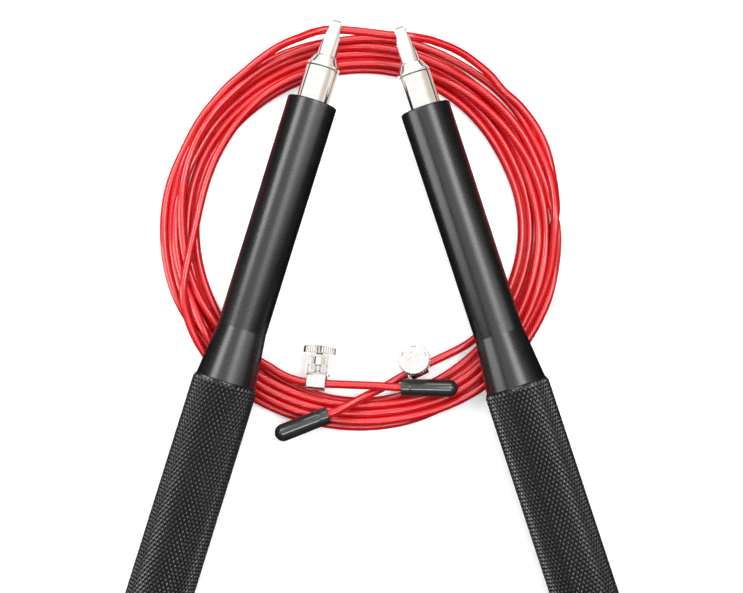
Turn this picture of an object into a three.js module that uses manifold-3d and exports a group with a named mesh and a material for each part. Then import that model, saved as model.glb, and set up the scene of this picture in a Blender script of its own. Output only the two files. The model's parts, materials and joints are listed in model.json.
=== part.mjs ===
// A speed jump rope with two ball-bearing handles.
// Millimetres, +Z up. The rope lies coiled on a surface at z = 0 with the handles on top of it, tips
// towards +Y. The origin is under the middle of the box that holds the two handles.
import * as THREE from "three";
import { mergeVertices } from "three/addons/utils/BufferGeometryUtils.js";
import Module from "manifold-3d";

const wasm = await Module();
wasm.setup();

// ---- Driving dimensions -------------------------------------------------------------------------

const GAP = 0.3; // clearance between neighbouring pieces

// How the handles lie: toed in towards the tips, and tipped up over the coil.
const TOE_IN = THREE.MathUtils.degToRad(17.55);
const TIP_UP = THREE.MathUtils.degToRad(2.6);
const GRIP_END_X = 67.2;
const LEFT_GRIP_END_Y = -88.85;
const RIGHT_GRIP_END_Y = -91.05;

// Handle, as stations along its axis from the outer face of the end plug, and radii.
const GRIP_START = 2.5;
const GRIP_RADIUS = 10;
const GRIP_CHAMFER = 0.5;
const GRIP_FRONT = 77.1;
const FLARE_RADIUS = 9.3;
const FLARE_FRONT = 93.4;
const BARREL_RADIUS = 7.55;
const WAIST = 125;
const WAIST_RADIUS = 7.55;
const BARREL_FRONT = 166.1;
const BARREL_FRONT_RADIUS = 7.72;
const BARREL_EDGE = 0.45;
const GRIP_BORE_RADIUS = 6.9;
const GRIP_BORE_END = 60;
const CORE_BORE_RADIUS = 3.5;
const SOCKET_DEPTH = 16.2;

// End plug.
const PLUG_RADIUS = 9.4;
const PLUG_EDGE = 0.6;
const PLUG_SPIGOT_LENGTH = 8;

// Bearing sleeve and the two bearings in it.
const SLEEVE_RADIUS = 5.15;
const SLEEVE_FRONT = 176.7;
const SLEEVE_BORE_RADIUS = 4.45;
const SLEEVE_RIB_RADIUS = 3.7;
const FRONT_BEARING = 172.6;
const REAR_BEARING = 162;
const BEARING_WIDTH = 3;
const OUTER_RACE_RADIUS = 4.15;
const OUTER_RACE_BORE = 3.4;
const INNER_RACE_RADIUS = 2.36;
const SHAFT_BORE_RADIUS = 1.75; // bore of every piece that sits on the shaft
const GROOVE_DEPTH = 0.2;
const GROOVE_HALF_WIDTH = 0.6;
const BALL_COUNT = 7;
const BALL_RADIUS = 0.55;
const BALL_PITCH_RADIUS = 2.88;
const CAGE_WALL = 0.52;
const CAGE_WIDTH = 2;

// Pieces on the shaft.
const SPACER_RADIUS = 2.3;
const SHIELD_START = 175.9;
const SHIELD_THICKNESS = 0.5;
const WASHER_START = 161.2;
const WASHER_THICKNESS = 0.5;
const WASHER_RADIUS = 3;
const NUT_START = 158.6;
const NUT_THICKNESS = 2.3;
const NUT_CORNER_RADIUS = 3.2;

// Spindle: shaft, cone, neck and the flat tang with the rope's eye through it.
const SHAFT_END = 157.9;
const SHAFT_RADIUS = 1.45;
const CONE_START = 177;
const CONE_LENGTH = 3.7;
const NECK_RADIUS = 3.05;
const TANG_START = 185.8;
const TANG_THICKNESS = 2.8;
const HANDLE_LENGTH = 192.5;
const EYE_STATION = 189.4;
const EYE_RADIUS = 2.3;

// Rope, its coil and the caps on its ends.
const ROPE_RADIUS = 1.25;
const ROPE_SIDES = 8;
const ROPE_STEP = 5; // length of one straight step of a rope tube
const COIL_CENTRE = [-2.6, 32.4];
const COIL_INNER_RADIUS = 51.4;
const COIL_OUTER_RADIUS = 64.2;
const COIL_HEIGHT = 4.3; // two layers of rope
const COIL_INNER_HEIGHT = 2.3; // the innermost turns lie in one layer
const CAP_RADIUS = 2.7;
const CAP_LENGTH = 17.6;
const CAP_BORE_DEPTH = 13;

// Clamp: a ring round the rope, and a stirrup over it that carries the thumb screw.
const RING_RADIUS = 3;
const RING_BORE_RADIUS = 2.3;
const RING_LENGTH = 5.2;
const ROPE_OFFSET = 0.75; // the screw presses the rope against the far side of the ring
const STIRRUP_WIDTH = 7.4;
const STIRRUP_DEPTH = 3.8;
const STIRRUP_TOP = 8.1;
const LEG_THICKNESS = 1.1;
const PLATE_THICKNESS = 1.1;
const BOSS_RADIUS = 2.1;
const BOSS_BOTTOM = 4.9;
const SCREW_RADIUS = 1.15;
const SCREW_TIP = 0.95;
const HEAD_RADIUS = 5;
const HEAD_THICKNESS = 2.2;
const HEAD_DOME = 0.9;
const HEAD_TEETH = 40;
const TOOTH_DEPTH = 0.25;
const RECESS_WIDTH = 1.1;
const RECESS_LENGTH = 5;
const RECESS_DEPTH = 1.2;

// Facets round a turned piece: fewer on the small ones.
const LARGE_FACETS = 32;
const SMALL_FACETS = 20;
const COIL_FACETS = 64;

// Rope stretches that aren't coiled, as points on the rope's centre line.
// From the right cap, through the left clamp and onto the coil.
const LEFT_TAIL = [
  [21.2, -17.94, 7.6],
  [15, -17.77, 7.6],
  [9.1, -17.6, 7.6],
  [5.6, -17.4, 7.38],
  [2, -17.05, 7.13],
  [-5, -16.7, 6.6],
  [-11, -16.39, 6.14],
  [-17.6, -16.05, 5.63],
  [-21, -15.5, 5.3],
  [-24.5, -14.5, 4.7],
  [-28, -12.9, 4.1],
  [-30.5, -11.2, 3.9],
];
// From the left cap, under the other tail, through the right clamp and to the coil.
const RIGHT_TAIL = [
  [-24.2, -30.03, 7.04],
  [-18.6, -27.89, 7.47],
  [-13, -25.75, 7.9],
  [-9.9, -24.4, 7.9],
  [-6.2, -22.5, 7.25],
  [-1.9, -20.2, 5.6],
  [2, -18.3, 4.1],
  [6, -16.1, 2.9],
  [9, -14.3, 2.45],
  [14.33, -11.71, 2.4],
  [19.6, -9.22, 2.4],
  [24, -7.2, 2.35],
  [28.3, -5.1, 1.9],
  [32.2, -2.7, 1.45],
];
// From the coil's right side up through both eyes, and down onto its left side.
const EYE_STRETCH = [
  [41.3, 75.3, 5],
  [38.2, 79.3, 5.9],
  [35.2, 81.9, 7.2],
  [31.6, 84.5, 9],
  [28.2, 86.3, 10.7],
  [24.8, 87.5, 12.5],
  [21.6, 88.3, 14.2],
  [18.4, 88.95, 15.9],
  [15.4, 89.1, 17.4],
  [12.8, 89.4, 18.2],
  [10.2, 89.5, 18.42],
  [7.6, 89.65, 18.45],
  [2.5, 90.3, 18.5],
  [-3, 91, 18.5],
  [-7.8, 91.5, 18.45],
  [-10.4, 91.66, 18.4],
  [-13.2, 91.7, 17.8],
  [-17, 91.45, 15.7],
  [-20.8, 90.8, 12.7],
  [-24.4, 89.8, 9.6],
  [-27.8, 88.35, 7.1],
  [-31, 86.4, 5.5],
  [-34.1, 84.2, 5.05],
];

// Where the pieces on the rope sit: a point on the rope, the way the rope runs there, and for a
// clamp the way its screw points.
const LEFT_CLAMP = { at: [-16.8, -16.09, 5.69], along: [22, -2.4, 1.7], screw: [0.1, 0.995, -0.0436] };
const RIGHT_CLAMP = { at: [14.33, -11.71, 2.4], along: [12.64, 5.97, 0], screw: [-0.112, 0.238, 0.965] };
const LEFT_CAP = { mouth: [-13, -25.75, 7.9], along: [-0.931, -0.357, -0.072] };
const RIGHT_CAP = { mouth: [9.1, -17.6, 7.6], along: [1, -0.028, 0] };

// ---- Materials ----------------------------------------------------------------------------------

function material(color, roughness, metalness) {
  return new THREE.MeshStandardMaterial({ color, roughness, metalness });
}

const ANODISED = material(0x1b1b1c, 0.42, 0.6);
const BLACK_PLASTIC = material(0x161616, 0.6, 0);
const NICKEL = material(0xe4e3df, 0.14, 1);
const BEARING_STEEL = material(0xb9bbbe, 0.25, 1);
const CAGE_BRASS = material(0xb5904c, 0.35, 1);
const RED_PVC = material(0xd5101f, 0.22, 0);
const BLACK_RUBBER = material(0x1a1c1b, 0.55, 0);

// ---- Solids -------------------------------------------------------------------------------------

// A three.js geometry as a manifold-3d solid.
function solid(geometry, matrix = new THREE.Matrix4()) {
  const bare = new THREE.BufferGeometry();
  const source = geometry.index ? geometry.toNonIndexed() : geometry;
  bare.setAttribute("position", source.getAttribute("position").clone());
  bare.applyMatrix4(matrix);
  const merged = mergeVertices(bare, 1e-4);
  const mesh = new wasm.Mesh({
    numProp: 3,
    vertProperties: merged.attributes.position.array,
    triVerts: new Uint32Array(merged.index.array),
  });
  return new wasm.Manifold(mesh);
}

// A manifold-3d solid as a three.js geometry.
function geometryOf(made) {
  const mesh = made.getMesh();
  const geometry = new THREE.BufferGeometry();
  geometry.setAttribute("position", new THREE.BufferAttribute(new Float32Array(mesh.vertProperties), 3));
  geometry.setIndex(new THREE.BufferAttribute(new Uint32Array(mesh.triVerts), 1));
  geometry.computeVertexNormals();
  return geometry;
}

// A body turned about Z. The outline is [radius, station] pairs, up the outside and down the inside.
function turned(outline, facets = SMALL_FACETS) {
  const points = outline.map(([radius, station]) => new THREE.Vector2(radius, station));
  return new THREE.LatheGeometry(points, facets).rotateX(Math.PI / 2);
}

// A tube about Z, open at both ends.
function collar(inner, outer, start, length, facets = SMALL_FACETS) {
  const end = start + length;
  return turned([[inner, start], [outer, start], [outer, end], [inner, end], [inner, start]], facets);
}

// A block from one corner to the opposite one.
function block(low, high) {
  const size = high.map((value, i) => value - low[i]);
  const middle = high.map((value, i) => (value + low[i]) / 2);
  return new THREE.BoxGeometry(...size).translate(...middle);
}

// A cylinder along X through the point (0, 0, station).
function crossPin(radius, length, station, facets = SMALL_FACETS) {
  return new THREE.CylinderGeometry(radius, radius, length, facets).rotateZ(Math.PI / 2).translate(0, 0, station);
}

function named(name, geometry, look) {
  const mesh = new THREE.Mesh(geometry, look);
  mesh.name = name;
  return mesh;
}

// ---- Handle pieces, about their own Z axis, from the grip end towards the tip ---------------------

function handleBody() {
  const socketEnd = BARREL_FRONT - SOCKET_DEPTH;
  return turned(
    [
      [GRIP_BORE_RADIUS, GRIP_START],
      [GRIP_RADIUS - GRIP_CHAMFER, GRIP_START],
      [GRIP_RADIUS, GRIP_START + GRIP_CHAMFER],
      [GRIP_RADIUS, GRIP_FRONT - GRIP_CHAMFER],
      [FLARE_RADIUS, GRIP_FRONT],
      [BARREL_RADIUS, FLARE_FRONT],
      [WAIST_RADIUS, WAIST],
      [BARREL_FRONT_RADIUS, BARREL_FRONT - BARREL_EDGE],
      [BARREL_FRONT_RADIUS - BARREL_EDGE, BARREL_FRONT],
      [SLEEVE_RADIUS + GAP, BARREL_FRONT],
      [SLEEVE_RADIUS + GAP, socketEnd],
      [CORE_BORE_RADIUS, socketEnd],
      [CORE_BORE_RADIUS, GRIP_BORE_END + GRIP_BORE_RADIUS - CORE_BORE_RADIUS],
      [GRIP_BORE_RADIUS, GRIP_BORE_END],
      [GRIP_BORE_RADIUS, GRIP_START],
    ],
    LARGE_FACETS,
  );
}

function endPlug() {
  const flange = GRIP_START - GAP;
  const spigot = GRIP_BORE_RADIUS - GAP;
  return turned([
    [0, 0],
    [PLUG_RADIUS - PLUG_EDGE, 0],
    [PLUG_RADIUS, PLUG_EDGE],
    [PLUG_RADIUS, flange],
    [spigot, flange],
    [spigot, flange + PLUG_SPIGOT_LENGTH],
    [0, flange + PLUG_SPIGOT_LENGTH],
  ], LARGE_FACETS);
}

function bearingSleeve() {
  const rear = BARREL_FRONT - SOCKET_DEPTH + GAP;
  const ribStart = REAR_BEARING + BEARING_WIDTH + GAP;
  const ribEnd = FRONT_BEARING - GAP;
  return turned([
    [SLEEVE_BORE_RADIUS, rear],
    [SLEEVE_RADIUS, rear],
    [SLEEVE_RADIUS, SLEEVE_FRONT - GAP],
    [SLEEVE_RADIUS - GAP, SLEEVE_FRONT],
    [SLEEVE_BORE_RADIUS, SLEEVE_FRONT],
    [SLEEVE_BORE_RADIUS, ribEnd],
    [SLEEVE_RIB_RADIUS, ribEnd],
    [SLEEVE_RIB_RADIUS, ribStart],
    [SLEEVE_BORE_RADIUS, ribStart],
    [SLEEVE_BORE_RADIUS, rear],
  ]);
}

function outerRace(start) {
  const middle = start + BEARING_WIDTH / 2;
  const end = start + BEARING_WIDTH;
  return turned([
    [OUTER_RACE_BORE, start],
    [OUTER_RACE_RADIUS, start],
    [OUTER_RACE_RADIUS, end],
    [OUTER_RACE_BORE, end],
    [OUTER_RACE_BORE, middle + GROOVE_HALF_WIDTH],
    [OUTER_RACE_BORE + GROOVE_DEPTH, middle],
    [OUTER_RACE_BORE, middle - GROOVE_HALF_WIDTH],
    [OUTER_RACE_BORE, start],
  ]);
}

function innerRace(start) {
  const middle = start + BEARING_WIDTH / 2;
  const end = start + BEARING_WIDTH;
  return turned([
    [SHAFT_BORE_RADIUS, start],
    [INNER_RACE_RADIUS, start],
    [INNER_RACE_RADIUS, middle - GROOVE_HALF_WIDTH],
    [INNER_RACE_RADIUS - GROOVE_DEPTH, middle],
    [INNER_RACE_RADIUS, middle + GROOVE_HALF_WIDTH],
    [INNER_RACE_RADIUS, end],
    [SHAFT_BORE_RADIUS, end],
    [SHAFT_BORE_RADIUS, start],
  ]);
}

// The cage and the balls that it holds, which go round together.
function ballCage(start) {
  const middle = start + BEARING_WIDTH / 2;
  const inner = BALL_PITCH_RADIUS - CAGE_WALL / 2;
  let made = solid(collar(inner, inner + CAGE_WALL, middle - CAGE_WIDTH / 2, CAGE_WIDTH));
  for (let i = 0; i < BALL_COUNT; i++) {
    const angle = (2 * Math.PI * i) / BALL_COUNT;
    const ball = new THREE.OctahedronGeometry(BALL_RADIUS, 1);
    ball.translate(BALL_PITCH_RADIUS * Math.cos(angle), BALL_PITCH_RADIUS * Math.sin(angle), middle);
    made = made.add(solid(ball));
  }
  return geometryOf(made);
}

function lockNut() {
  const hexagon = new THREE.CylinderGeometry(NUT_CORNER_RADIUS, NUT_CORNER_RADIUS, NUT_THICKNESS, 6);
  hexagon.rotateX(Math.PI / 2).translate(0, 0, NUT_START + NUT_THICKNESS / 2);
  const bore = turned([
    [0, NUT_START - 1],
    [SHAFT_BORE_RADIUS, NUT_START - 1],
    [SHAFT_BORE_RADIUS, NUT_START + NUT_THICKNESS + 1],
    [0, NUT_START + NUT_THICKNESS + 1],
  ]);
  return geometryOf(solid(hexagon).subtract(solid(bore)));
}

function spindle() {
  const coneEnd = CONE_START + CONE_LENGTH;
  const shaft = turned([
    [0, SHAFT_END],
    [SHAFT_RADIUS - GAP, SHAFT_END],
    [SHAFT_RADIUS, SHAFT_END + GAP],
    [SHAFT_RADIUS, CONE_START],
    [SLEEVE_RADIUS - 0.2, CONE_START],
    [SLEEVE_RADIUS, CONE_START + 0.2],
    [SLEEVE_RADIUS - 0.05, CONE_START + 0.7],
    [3.9, coneEnd - 0.9],
    [3.5, coneEnd - 0.3],
    [NECK_RADIUS, coneEnd],
    [NECK_RADIUS, HANDLE_LENGTH],
    [0, HANDLE_LENGTH],
  ]);
  const half = TANG_THICKNESS / 2;
  const wide = NECK_RADIUS + 1;
  const roundCentre = HANDLE_LENGTH - NECK_RADIUS;
  const beside = (side) => {
    const near = side > 0 ? half : -wide;
    const far = side > 0 ? wide : -half;
    return solid(block([near, -wide, TANG_START], [far, wide, HANDLE_LENGTH + 1]));
  };
  const roundEnd = solid(block([-wide, -wide, roundCentre], [wide, wide, HANDLE_LENGTH + 1])).subtract(
    solid(crossPin(NECK_RADIUS, 4 * wide, roundCentre)),
  );
  const eye = solid(crossPin(EYE_RADIUS, 4 * wide, EYE_STATION));
  const made = solid(shaft).subtract(beside(1)).subtract(beside(-1)).subtract(roundEnd).subtract(eye);
  return geometryOf(made);
}

// One handle with everything in it, as a group whose Z axis runs from the grip end to the tip.
function handle(side) {
  const group = new THREE.Group();
  const add = (name, geometry, look) => group.add(named(side + "_" + name, geometry, look));
  add("handle_body", handleBody(), ANODISED);
  add("end_plug", endPlug(), BLACK_PLASTIC);
  add("bearing_sleeve", bearingSleeve(), NICKEL);
  for (const [place, start] of [["front", FRONT_BEARING], ["rear", REAR_BEARING]]) {
    add(place + "_outer_race", outerRace(start), BEARING_STEEL);
    add(place + "_inner_race", innerRace(start), BEARING_STEEL);
    add(place + "_ball_cage", ballCage(start), CAGE_BRASS);
  }
  const spacerStart = REAR_BEARING + BEARING_WIDTH + GAP;
  const spacerLength = FRONT_BEARING - GAP - spacerStart;
  add("bearing_spacer", collar(SHAFT_BORE_RADIUS, SPACER_RADIUS, spacerStart, spacerLength), BEARING_STEEL);
  add("dust_shield", collar(SHAFT_BORE_RADIUS, OUTER_RACE_RADIUS, SHIELD_START, SHIELD_THICKNESS), BEARING_STEEL);
  add("lock_washer", collar(SHAFT_BORE_RADIUS, WASHER_RADIUS, WASHER_START, WASHER_THICKNESS), BEARING_STEEL);
  add("lock_nut", lockNut(), BEARING_STEEL);
  add("spindle", spindle(), NICKEL);
  const inward = side === "left" ? 1 : -1;
  const axisHeight = GRIP_RADIUS * Math.cos(TIP_UP) - (GRIP_START + GRIP_CHAMFER) * Math.sin(TIP_UP);
  group.rotation.set(TIP_UP - Math.PI / 2, 0, -inward * TOE_IN, "ZXY");
  group.position.set(-inward * GRIP_END_X, side === "left" ? LEFT_GRIP_END_Y : RIGHT_GRIP_END_Y, axisHeight);
  return group;
}

// ---- Rope pieces --------------------------------------------------------------------------------

// A length of rope along a smooth curve through the given points.
function ropeTube(points) {
  const curve = new THREE.CatmullRomCurve3(points.map((p) => new THREE.Vector3(...p)));
  const section = new THREE.Shape();
  for (let i = 0; i < ROPE_SIDES; i++) {
    const angle = (2 * Math.PI * i) / ROPE_SIDES;
    const corner = [ROPE_RADIUS * Math.cos(angle), ROPE_RADIUS * Math.sin(angle)];
    if (i === 0) section.moveTo(...corner);
    else section.lineTo(...corner);
  }
  section.closePath();
  const steps = Math.ceil(curve.getLength() / ROPE_STEP);
  return new THREE.ExtrudeGeometry(section, { steps, extrudePath: curve, curveSegments: 1 });
}

// The outer shape of the coiled turns: a flat ring, thinner at its inner and outer edges.
function coil() {
  const inner = COIL_INNER_RADIUS;
  const outer = COIL_OUTER_RADIUS;
  const ring = turned(
    [
      [inner, 0],
      [outer - 0.8, 0],
      [outer, 1],
      [outer - 0.6, 2.2],
      [outer - 3, 3.4],
      [outer - 5, COIL_HEIGHT - 0.2],
      [inner + 5, COIL_HEIGHT],
      [inner + 3, COIL_INNER_HEIGHT],
      [inner, COIL_INNER_HEIGHT],
      [inner, 0],
    ],
    COIL_FACETS,
  );
  return ring.translate(COIL_CENTRE[0], COIL_CENTRE[1], 0);
}

// A cap about Z, mouth at the origin, with a round closed end.
function endCap() {
  const bore = ROPE_RADIUS + GAP;
  const roundStart = CAP_LENGTH - CAP_RADIUS;
  const outline = [[0, CAP_BORE_DEPTH], [bore, CAP_BORE_DEPTH], [bore, 0], [CAP_RADIUS - GAP, 0], [CAP_RADIUS, GAP]];
  const roundSteps = 4;
  for (let i = 0; i <= roundSteps; i++) {
    const angle = (Math.PI / 2) * (i / roundSteps);
    const radius = i === roundSteps ? 0 : CAP_RADIUS * Math.cos(angle);
    outline.push([radius, roundStart + CAP_RADIUS * Math.sin(angle)]);
  }
  return turned(outline);
}

// A clamp about its ring's centre: rope along X, screw along Z.
function clampBody() {
  const halfWidth = STIRRUP_WIDTH / 2;
  const halfDepth = STIRRUP_DEPTH / 2;
  const frame = solid(block([-halfWidth, -halfDepth, 0], [halfWidth, halfDepth, STIRRUP_TOP]));
  const windowTop = STIRRUP_TOP - PLATE_THICKNESS;
  const windowHalf = halfWidth - LEG_THICKNESS;
  const window = solid(block([-windowHalf, -STIRRUP_DEPTH, 0], [windowHalf, STIRRUP_DEPTH, windowTop]));
  const boss = solid(turned([[0, BOSS_BOTTOM], [BOSS_RADIUS, BOSS_BOTTOM], [BOSS_RADIUS, windowTop + 0.5], [0, windowTop + 0.5]]));
  const thread = SCREW_RADIUS + GAP;
  const screwHole = solid(turned([[0, 0], [thread, 0], [thread, STIRRUP_TOP + 1], [0, STIRRUP_TOP + 1]]));
  const ring = solid(crossPin(RING_RADIUS, RING_LENGTH, 0));
  const bore = solid(crossPin(RING_BORE_RADIUS, 3 * RING_LENGTH, 0));
  return geometryOf(frame.subtract(window).add(boss).add(ring).subtract(screwHole).subtract(bore));
}

// A thumb screw in its clamp's place: toothed, domed head with a cross recess, and a plain shank.
function thumbScrew() {
  const headStart = STIRRUP_TOP + GAP;
  const headEnd = headStart + HEAD_THICKNESS;
  const rim = new THREE.Shape();
  for (let i = 0; i < 2 * HEAD_TEETH; i++) {
    const angle = (Math.PI * i) / HEAD_TEETH;
    const radius = i % 2 ? HEAD_RADIUS - TOOTH_DEPTH : HEAD_RADIUS;
    if (i === 0) rim.moveTo(radius, 0);
    else rim.lineTo(radius * Math.cos(angle), radius * Math.sin(angle));
  }
  rim.closePath();
  const head = new THREE.ExtrudeGeometry(rim, { depth: HEAD_THICKNESS, bevelEnabled: false, steps: 1 });
  head.translate(0, 0, headStart);
  const flatRadius = HEAD_RADIUS - 2 * TOOTH_DEPTH;
  const dome = turned([[0, headEnd - 0.5], [flatRadius, headEnd - 0.5], [flatRadius, headEnd], [2.6, headEnd + HEAD_DOME], [0, headEnd + HEAD_DOME]]);
  const shank = turned([[0, SCREW_TIP], [SCREW_RADIUS, SCREW_TIP], [SCREW_RADIUS, headStart + 0.5], [0, headStart + 0.5]]);
  const recessBottom = headEnd + HEAD_DOME - RECESS_DEPTH;
  const halfLength = RECESS_LENGTH / 2;
  const halfSlot = RECESS_WIDTH / 2;
  const slotX = block([-halfLength, -halfSlot, recessBottom], [halfLength, halfSlot, headEnd + 2]);
  const slotY = block([-halfSlot, -halfLength, recessBottom], [halfSlot, halfLength, headEnd + 2]);
  const made = solid(head).add(solid(dome)).add(solid(shank));
  return geometryOf(made.subtract(solid(slotX)).subtract(solid(slotY)));
}

// A group at a clamp's ring centre, X along the rope and Z along the screw.
function clampGroup(side, place) {
  const x = new THREE.Vector3(...place.along).normalize();
  const up = new THREE.Vector3(...place.screw);
  const y = new THREE.Vector3().crossVectors(up, x).normalize();
  const z = new THREE.Vector3().crossVectors(x, y);
  const group = new THREE.Group();
  group.quaternion.setFromRotationMatrix(new THREE.Matrix4().makeBasis(x, y, z));
  group.position.set(...place.at).addScaledVector(z, ROPE_OFFSET);
  group.add(named(side + "_clamp_body", clampBody(), NICKEL));
  group.add(named(side + "_thumb_screw", thumbScrew(), NICKEL));
  return group;
}

function capMesh(side, place) {
  const mesh = named(side + "_rope_cap", endCap(), BLACK_RUBBER);
  const along = new THREE.Vector3(...place.along).normalize();
  mesh.quaternion.setFromUnitVectors(new THREE.Vector3(0, 0, 1), along);
  mesh.position.set(...place.mouth);
  return mesh;
}

// ---- The whole object ---------------------------------------------------------------------------

const jumpRope = new THREE.Group();
for (const side of ["left", "right"]) jumpRope.add(handle(side));
jumpRope.add(named("rope_coil", coil(), RED_PVC));
jumpRope.add(named("rope_left_tail", ropeTube(LEFT_TAIL), RED_PVC));
jumpRope.add(named("rope_right_tail", ropeTube(RIGHT_TAIL), RED_PVC));
jumpRope.add(named("rope_eye_stretch", ropeTube(EYE_STRETCH), RED_PVC));
jumpRope.add(clampGroup("left", LEFT_CLAMP));
jumpRope.add(clampGroup("right", RIGHT_CLAMP));
jumpRope.add(capMesh("left", LEFT_CAP));
jumpRope.add(capMesh("right", RIGHT_CAP));

export default jumpRope;
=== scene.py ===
"""A speed jump rope with two ball-bearing handles, lying coiled on a white table.

The outside of each handle, the rope, its clamps and its caps are modelled here in fine detail.
The bearings inside the handles are the CAD's own pieces with metal materials.
Lengths in this file are in millimetres and become metres where a mesh or an object is made.
"""
import json
import math

import bmesh
import bpy
import numpy as np
from mathutils import Matrix, Vector


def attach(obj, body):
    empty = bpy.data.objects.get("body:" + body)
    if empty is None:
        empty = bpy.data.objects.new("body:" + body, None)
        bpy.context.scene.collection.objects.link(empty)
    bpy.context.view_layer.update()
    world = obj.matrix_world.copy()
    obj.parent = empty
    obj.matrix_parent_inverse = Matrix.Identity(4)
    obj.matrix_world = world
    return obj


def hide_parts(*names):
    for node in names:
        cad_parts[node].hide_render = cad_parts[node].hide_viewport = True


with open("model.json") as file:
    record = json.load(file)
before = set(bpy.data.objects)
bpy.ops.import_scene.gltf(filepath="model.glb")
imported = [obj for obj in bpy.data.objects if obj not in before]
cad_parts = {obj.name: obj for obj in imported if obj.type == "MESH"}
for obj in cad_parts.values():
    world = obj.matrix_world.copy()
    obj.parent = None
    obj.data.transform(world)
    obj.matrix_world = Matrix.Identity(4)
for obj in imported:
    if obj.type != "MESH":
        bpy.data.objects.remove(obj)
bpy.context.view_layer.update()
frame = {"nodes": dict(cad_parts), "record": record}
MM = 0.001

# ---- Dimensions, the same as the CAD's ----

TOE_IN = math.radians(17.55)
TIP_UP = math.radians(2.6)
GRIP_END_X = 67.2
LEFT_GRIP_END_Y = -88.85
RIGHT_GRIP_END_Y = -91.05

GRIP_START = 2.5
GRIP_RADIUS = 10
GRIP_CHAMFER = 0.5
GRIP_FRONT = 77.1
FLARE_RADIUS = 9.3
FLARE_FRONT = 93.4
BARREL_RADIUS = 7.55
WAIST = 125
WAIST_RADIUS = 7.55
BARREL_FRONT = 166.1
BARREL_FRONT_RADIUS = 7.72
GRIP_BORE_RADIUS = 6.9
GRIP_BORE_END = 60
CORE_BORE_RADIUS = 3.5
SOCKET_DEPTH = 16.2
SOCKET_RADIUS = 5.45

PLUG_RADIUS = 9.4
PLUG_FLANGE = 2.2
PLUG_SPIGOT_RADIUS = 6.6
PLUG_LENGTH = 10.2
PLUG_RIBS = 4
PLUG_RIB_PITCH = 1.8
PLUG_RIB_HEIGHT = 0.3

SLEEVE_RADIUS = 5.15
SLEEVE_REAR = 150.2
SLEEVE_FRONT = 176.7
SLEEVE_BORE_RADIUS = 4.45
SLEEVE_RIB_RADIUS = 3.7
SLEEVE_RIB = (165.3, 172.3)

SHAFT_END = 157.9
SHAFT_RADIUS = 1.45
CONE_START = 177
CONE_END = 180.7
NECK_RADIUS = 3.05
HANDLE_LENGTH = 192.5
EYE_STATION = 189.4
EYE_RADIUS = 2.3
EYE_FLARE = 0.75  # how much wider the eye is at its mouths

CAP_RADIUS = 2.7
CAP_LENGTH = 17.6
CAP_BORE_RADIUS = 1.55
CAP_BORE_DEPTH = 13

RING_RADIUS = 3
RING_BORE_RADIUS = 2.3
RING_LENGTH = 5.2
RING_LIP = 0.35  # how far the ring reaches past its length at each end
RING_BORE_FLARE = 0.3
ROPE_OFFSET = 0.75
STIRRUP_WIDTH = 7.4
STIRRUP_DEPTH = 3.8
STIRRUP_TOP = 8.1
LEG_THICKNESS = 1.1
PLATE_THICKNESS = 1.1
BOSS_RADIUS = 2.1
BOSS_BOTTOM = 4.9
SCREW_RADIUS = 1.15
SCREW_TIP = 0.95
SCREW_HOLE_CLEARANCE = 0.1
THREAD_DEPTH = 0.22
THREAD_PITCH = 0.5
HEAD_START = 8.4
HEAD_THICKNESS = 2.2
HEAD_RADIUS = 5
HEAD_DOME = 0.9
HEAD_TEETH = 40
TOOTH_DEPTH = 0.25
RECESS_WIDTH = 1.1
RECESS_LENGTH = 5
RECESS_DEPTH = 1.2
WINDOW_BEVEL = 0.8  # depth of the bevel round the stirrup's window
WINDOW_FLARE = 0.6  # how much wider the window is at its faces
DOME_RADIUS = 3.9
DOME_LOBES = 5  # shallow lobes pressed into the screw head's dome
LOBE_DEPTH = 0.07  # as a share of the dome's radius
LOBE_TURN = 0.6

# Knurl on the grip: diamonds round it and along it.
KNURL_AROUND = 44
KNURL_ROWS = 32
KNURL_DEPTH = 0.42
KNURL_FLAT = 0.4  # how much of each diamond is its flat top


# ---- Placing ----


def in_scene(name, data):
    """A new object with this data, linked to the scene."""
    made = bpy.data.objects.new(name, data)
    bpy.context.scene.collection.objects.link(made)
    return made


def unit(vector):
    return np.array(vector, float) / np.linalg.norm(vector)


def rows_to_matrix(x, y, z, origin):
    """A placing matrix in millimetres from three axes and an origin."""
    matrix = Matrix.Identity(4)
    for column, vector in enumerate((x, y, z, origin)):
        for row in range(3):
            matrix[row][column] = vector[row]
    return matrix


def handle_place(side):
    """Where a handle lies: its Z runs from the grip end to the tip, and its X is level."""
    inward = 1 if side == "left" else -1
    axis = np.array([
        inward * math.sin(TOE_IN) * math.cos(TIP_UP),
        math.cos(TOE_IN) * math.cos(TIP_UP),
        math.sin(TIP_UP),
    ])
    level = unit(np.cross(axis, [0, 0, 1]))
    height = GRIP_RADIUS * math.cos(TIP_UP) - (GRIP_START + GRIP_CHAMFER) * math.sin(TIP_UP)
    y = LEFT_GRIP_END_Y if side == "left" else RIGHT_GRIP_END_Y
    origin = np.array([-inward * GRIP_END_X, y, height])
    return rows_to_matrix(level, np.cross(axis, level), axis, origin), origin, axis


def clamp_place(at, along, screw):
    """Where a clamp sits: X along the rope, Z along the screw, origin at the ring's centre."""
    x = unit(along)
    y = unit(np.cross(screw, x))
    z = np.cross(x, y)
    return rows_to_matrix(x, y, z, np.array(at) + ROPE_OFFSET * z)


def cap_place(mouth, along):
    z = unit(along)
    x = unit(np.cross([0, 1, 0], z))
    return rows_to_matrix(x, np.cross(z, x), z, mouth)


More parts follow.
